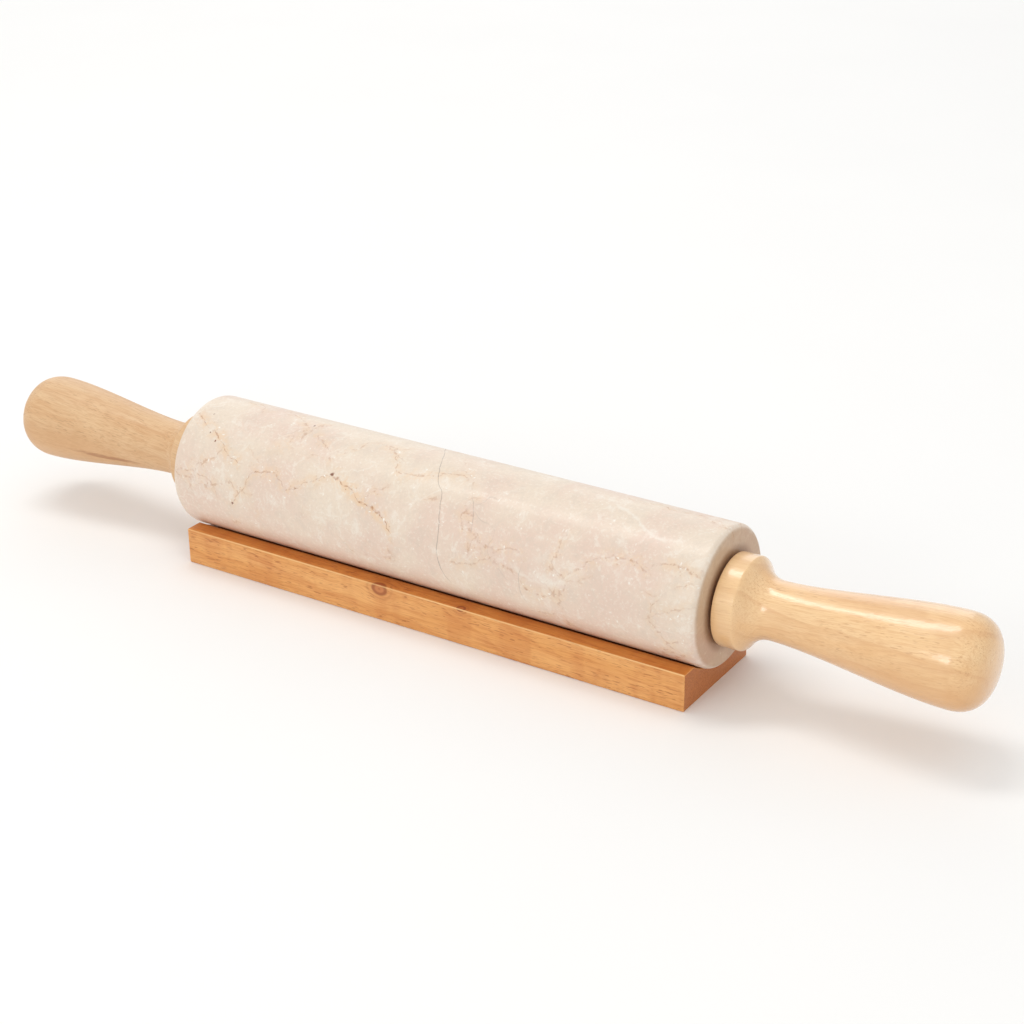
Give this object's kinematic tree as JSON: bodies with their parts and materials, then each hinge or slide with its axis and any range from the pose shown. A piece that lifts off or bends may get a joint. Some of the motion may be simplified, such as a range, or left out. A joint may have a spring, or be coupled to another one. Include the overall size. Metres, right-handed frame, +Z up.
{
  "type": "rolling pin",
  "caption": "Marble rolling pin with turned wooden handles on a steel axle, resting in a low grooved wooden cradle.",
  "frame": {"origin": "centre of the cradle's underside, on the surface it stands on", "axes": "+X along the pin from the left handle to the right handle, +Y across it to the back, +Z up"},
  "size_m": [0.4666, 0.0572, 0.0674],
  "materials": {
    "marble": "polished beige marble with fine rust-coloured veins",
    "handle_wood": "clear-lacquered pale wood",
    "cradle_wood": "satin orange-stained wood",
    "steel": "bright drawn bar",
    "brass": "machined",
    "nylon": "black bearing nylon"
  },
  "bodies": {
    "cradle": {"cradle": "cradle_wood"},
    "handle_set": {"axle_rod": "steel", "left_handle": "handle_wood", "right_handle": "handle_wood", "left_threaded_insert": "brass", "right_threaded_insert": "brass", "left_thrust_washer": "nylon", "right_thrust_washer": "nylon"},
    "barrel": {"marble_barrel": "marble", "left_bearing_bush": "nylon", "right_bearing_bush": "nylon"}
  },
  "joints": [
    {"name": "lift_off", "type": "slide", "parent": "cradle", "child": "handle_set", "axis": [0, 0, 1], "range_m": [0, 0.08]},
    {"name": "barrel_spin", "type": "hinge", "parent": "handle_set", "child": "barrel", "pos_m": [0, 0, 0.0388], "axis": [1, 0, 0], "continuous": true}
  ]
}
